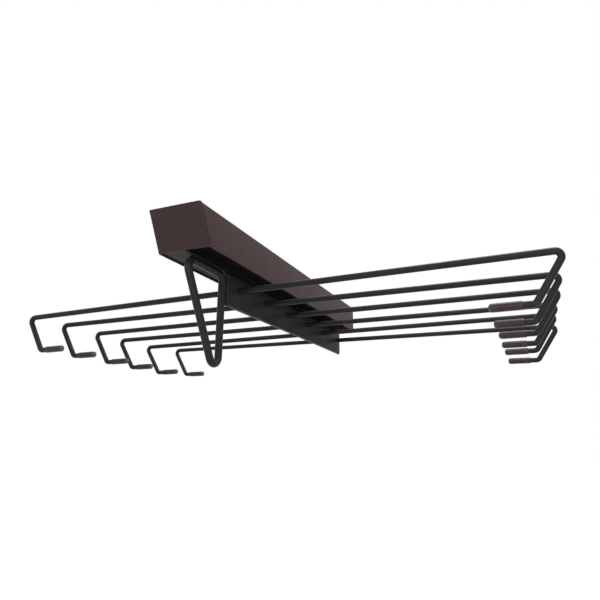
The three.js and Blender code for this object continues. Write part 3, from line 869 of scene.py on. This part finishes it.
rodShape = {
    "diameter": 6.5 * mm,
    "halfSpan": 320 * mm,
    "pitch": 62.8 * mm,
    "firstY": -98.8 * mm,
    "drop": 51.9 * mm,
    "insideBend": 2 * mm,
    "hookLean": 27.7 * mm,
    "hookDrop": 44.5 * mm,
    "hookReach": 38.4 * mm,
    "tipInset": 1.9 * mm,        # sleeve's end wall and its gap
    "shifts": [0.0055, 0.0028, 0.0036, -0.0006, -0.0014, 0.0051],    # shares of the half span
    "turns": [-1.35, 0.1, -0.1, 1.25, 0.65, -2.1],                   # degrees
    "tilts": [0.1, -0.05, 0, 0.15, 0.25, -0.85],
}
rodCount = len(rodShape["turns"])
sleeveShape = {
    "length": 28 * mm,
    "bore": 3.4 * mm,
    "outside": 4 * mm,
    "endWall": 1.6 * mm,
    "endRadius": 3 * mm,
    "endSteps": 8,
    "lip": 0.3 * mm,             # rounded mouth
    "lipSteps": 4,
    "wallRings": (0.2, 0.5, 0.8),    # shares of the length
    "litTipLengthShare": 0.14,           # of the length, from the tip, that gets the painted light of the translucent end
    "litTipFade": 1.5,
}
weldShape = {
    "width": 1 * mm,
    "height": 0.8 * mm,
    "ripple": 0.08 * mm,
    "ripples": 9,
    "sides": 40,
    "steps": 6,
}


def rodY(index):
    return rodShape["firstY"] + index * rodShape["pitch"]


def rodSeat(index):
    turn = Matrix.Rotation(math.radians(rodShape["turns"][index]), 4, "Z")
    tilt = Matrix.Rotation(-math.radians(rodShape["tilts"][index]), 4, "Y")
    seat = Vector((0, rodY(index), -rodShape["drop"]))
    shift = Vector((rodShape["shifts"][index] * rodShape["halfSpan"], 0, 0))
    return Matrix.Translation(seat) @ tilt @ turn, shift


def rodCorners():
    corner = rodShape["halfSpan"] - rodShape["hookLean"]
    end = corner - rodShape["hookReach"] + rodShape["tipInset"]
    low = -rodShape["hookDrop"]
    half = [(end, 0, low), (corner, 0, low), (rodShape["halfSpan"], 0, 0)]
    return [(-x, y, z) for x, y, z in half] + half[::-1]


def sleeveOutline():
    shape = sleeveShape
    outside, bore, length, radius, lip = (
        shape["outside"], shape["bore"], shape["length"], shape["endRadius"], shape["lip"])
    outline = [(0, 0)]
    outline += [(outside - radius + radius * sine, radius - radius * cosine)
                for sine, cosine in quarterTurn(shape["endSteps"])]
    outline += [(outside, share * length) for share in shape["wallRings"]]
    outline += [(outside - lip + lip * cosine, length - lip + lip * sine)
                for sine, cosine in quarterTurn(shape["lipSteps"])]
    return outline + [(bore, length), (bore, shape["endWall"]), (0, shape["endWall"])]


def markLitTip(mesh):    # painted light: 1 at the closed tip, where light shines through, fading out along the sleeve
    reach, fade = sleeveShape["litTipLengthShare"] * sleeveShape["length"], sleeveShape["litTipFade"]
    share = mesh.attributes.new("litTipShare", "FLOAT", "POINT")
    share.data.foreach_set("value", [max(0, 1 - vert.co.z / reach) ** fade for vert in mesh.vertices])


def weldRing(name, radius):    # a low rippled bead on the plane z = 0, round a wire
    width, height = weldShape["width"], weldShape["height"]
    bm = bmesh.new()
    loops = []
    for turn in roundTurns(weldShape["sides"]):
        grow = 1 + weldShape["ripple"] / width * math.sin(weldShape["ripples"] * turn)
        outline = [(radius + width * grow * (1 - sine), height * grow * (1 - cosine))
                   for sine, cosine in quarterTurn(weldShape["steps"])]
        loops.append([bm.verts.new((reach * math.cos(turn), reach * math.sin(turn), rise))
                      for reach, rise in outline + [(radius, 0)]])
    for this, after in zip(loops, loops[1:] + loops[:1]):
        skin(bm, after, this)
    return meshFrom(name, bm, 60)


def makeRods():
    radius = rodShape["diameter"] / 2
    endX = rodShape["halfSpan"] - rodShape["hookLean"] - rodShape["hookReach"]
    for i in range(rodCount):
        seat, shift = rodSeat(i)
        wire = wireMesh(f"rodWire{i + 1}", rodCorners(), radius, rodShape["insideBend"] + radius)
        wire.transform(seat @ Matrix.Translation(shift))
        parts = [(wire, 0)]
        for sign in (-1, 1):
            bead = weldRing("rodWeld", radius)
            place = (sign * carriageShape["sheet"] / 2, seat.translation.y, seat.translation.z)
            bead.transform(Matrix.Translation(place) @ Matrix.Rotation(sign * math.pi / 2, 4, "Y"))
            parts.append((bead, 0))
        newPiece(f"rod_wire_{i + 1}", joined(f"rodWire{i + 1}", parts), shadedWirePaint, "carriage",
                 f"trouser_rod_{i + 1}")
        for side, sign in (("left", -1), ("right", 1)):
            sleeve = turnedMesh(f"sleeve_{side}_{i + 1}", sleeveOutline())
            markLitTip(sleeve)
            place = shift + Vector((sign * endX, 0, -rodShape["hookDrop"]))
            sleeve.transform(seat @ Matrix.Translation(place) @ Matrix.Rotation(sign * math.pi / 2, 4, "Y"))
            newPiece(f"rod_sleeve_{side}_{i + 1}", sleeve, sleevePlastic, "carriage",
                     f"end_sleeve_{side}_{i + 1}")


makeCarriage()
makeScrews()
makeRods()
print("carriage, screws, rods and sleeves made")


# Pull handle: a wire bent to a loop, its upper run welded under the carriage

handleShape = {
    "diameter": 7.7 * mm,
    "x": -1.4 * mm,
    "rearLegY": -127.75 * mm,     # the legs' centre lines, level with the flange's underside
    "frontLegY": -195.65 * mm,
    "vertexY": -129.65 * mm,
    "vertexZ": -157.7 * mm,
    "flangeZ": -37.5 * mm,
    "play": 0.3 * mm,
    "insideBend": 4.3 * mm,
    "seam": 0.4 * mm,             # between the wire's two ends
}
seamShape = {                     # the welds along the handle's upper run
    "ys": (-15 * mm, 0, 15 * mm),    # from the middle of the run
    "x": -3.3 * mm,               # from the run's middle line
    "radius": 1.4 * mm,
    "length": 8 * mm,
    "sunk": 0.8,                  # share of the radius under the flange
    "ripples": 8,
    "ripple": 0.08,
    "bluntness": 6,
    "leastEnd": 0.1,
}


def weldSeam(name):    # a short rippled bead along y
    shape = seamShape
    radius, ripples = shape["radius"], shape["ripples"]
    outline = [(0, 0)]
    for i in range(4 * ripples + 1):
        share = i / (4 * ripples)
        swell = math.sqrt(max(0, 1 - (2 * share - 1) ** shape["bluntness"]))
        swell *= 1 - shape["ripple"] * (1 - math.cos(share * ripples * 2 * math.pi))
        outline.append((max(radius * swell, shape["leastEnd"] * radius), share * shape["length"]))
    outline.append((0, shape["length"]))
    mesh = turnedMesh(name, outline, 16, 60)
    mesh.transform(Matrix.Rotation(-math.pi / 2, 4, "X"))
    return mesh


def makeHandle():
    shape = handleShape
    radius = shape["diameter"] / 2
    vertex = Vector((shape["x"], shape["vertexY"], shape["vertexZ"]))
    share = (shape["play"] + radius) / (shape["flangeZ"] - shape["vertexZ"])
    front, rear = (Vector((shape["x"], y, shape["flangeZ"])).lerp(vertex, share)
                   for y in (shape["frontLegY"], shape["rearLegY"]))
    middle, half = (front + rear) / 2, Vector((0, shape["seam"] / 2, 0))
    parts = [(wireMesh("handleWire", [middle + half, rear, vertex, front, middle - half], radius,
                       shape["insideBend"] + radius, sides=32, steps=16), 0)]
    seamX, seamZ = shape["x"] + seamShape["x"], shape["flangeZ"] - seamShape["sunk"] * seamShape["radius"]
    for y in seamShape["ys"]:
        bead = weldSeam("runWeld")
        bead.transform(Matrix.Translation((seamX, middle.y + y - seamShape["length"] / 2, seamZ)))
        parts.append((bead, 0))
    newPiece("handle_wire", joined("handleWire", parts), shadedWirePaint, "carriage",
             "pull_handle")


makeHandle()
print("handle made")


# Floor, lamps, world and camera

stageLook = {
    "floorZ": -0.75,
    "floorHalf": 14,
    "floorTone": 0.5,
    "floorGlow": 0.9,        # only for rays that see the floor, so that it stays white
    "ambient": 0.32,
}


def seenShare(tree):    # 1 for rays that see the floor or the world, 0 for rays that light the rack
    rays = addNode(tree, "ShaderNodeLightPath").outputs
    seen = joinValues(tree, "MAXIMUM", rays["Is Camera Ray"], rays["Is Glossy Ray"])
    return joinValues(tree, "MAXIMUM", seen, rays["Is Transmission Ray"])


def makeFloor():
    half, z = stageLook["floorHalf"], stageLook["floorZ"]
    bm = bmesh.new()
    corners = ((-half, -half), (half, -half), (half, half), (-half, half))
    bm.faces.new([bm.verts.new((x, y, z)) for x, y in corners])
    mesh = bpy.data.meshes.new("floor")
    bm.to_mesh(mesh)
    bm.free()
    addObject("floor", mesh)
    material = bpy.data.materials.new("paleFloor")
    material.use_nodes = True
    tree = material.node_tree
    tree.nodes.clear()
    strength = joinValues(tree, "MULTIPLY", seenShare(tree), stageLook["floorGlow"])
    tone = stageLook["floorTone"]
    matte = addNode(tree, "ShaderNodeBsdfDiffuse", {"Color": (tone, tone, tone, 1)})
    glow = addNode(tree, "ShaderNodeEmission", {"Color": (1, 1, 1, 1), "Strength": strength})
    both = addNode(tree, "ShaderNodeAddShader", {0: matte.outputs[0], 1: glow.outputs[0]})
    out = addNode(tree, "ShaderNodeOutputMaterial")
    tree.links.new(both.outputs[0], out.inputs["Surface"])
    mesh.materials.append(material)


def makeWorld():
    world = bpy.data.worlds.new("paleStudio")
    bpy.context.scene.world = world
    world.use_nodes = True
    tree = world.node_tree
    tree.nodes.clear()
    strength = remap(tree, seenShare(tree), 0, 1, stageLook["ambient"], 1)
    sky = addNode(tree, "ShaderNodeBackground", {"Color": (1, 1, 1, 1), "Strength": strength})
    out = addNode(tree, "ShaderNodeOutputWorld")
    tree.links.new(sky.outputs[0], out.inputs["Surface"])


lamps = {
    "overhead": {"place": (0.27, 0, 0.6), "aim": (0.15, 0, -0.05), "size": 0.5, "power": 6},
    "front": {"place": (0, -1.8, 0.2), "aim": (0, -0.1, -0.05), "size": 1.2, "power": 8},
    "fill": {"place": (0.7, -1.2, -0.46), "aim": (0, -0.1, -0.05), "size": 0.5, "power": 4.5},
}


def makeLamps():
    for name, look in lamps.items():
        data = bpy.data.lights.new(name, "AREA")
        data.energy, data.size = look["power"], look["size"]
        lamp = addObject(name, data)
        place, aim = Vector(look["place"]), Vector(look["aim"])
        lamp.location = place
        lamp.rotation_euler = (aim - place).to_track_quat("-Z", "Y").to_euler()


cameraLook = {
    "place": (0.28865, -0.58933, -0.20886),
    "right": (0.916777, 0.399373, 0.00455),
    "up": (0.097162, -0.23406, 0.967355),
    "lens": 32.489,
    "sensor": 36,
    "nearest": 0.01,
    "farthest": 100,
}


def makeCamera():
    data = bpy.data.cameras.new("catalogueCamera")
    data.sensor_width, data.lens = cameraLook["sensor"], cameraLook["lens"]
    data.clip_start, data.clip_end = cameraLook["nearest"], cameraLook["farthest"]
    camera = addObject("catalogueCamera", data)
    right, up = Vector(cameraLook["right"]).normalized(), Vector(cameraLook["up"]).normalized()
    back = right.cross(up).normalized()
    turn = Matrix((right, back.cross(right), back)).transposed()
    camera.matrix_world = Matrix.Translation(cameraLook["place"]) @ turn.to_4x4()
    bpy.context.scene.camera = camera


makeFloor()
makeWorld()
makeLamps()
makeCamera()
bpy.context.scene.view_settings.view_transform = "Standard"
print("stage, lamps and camera set")
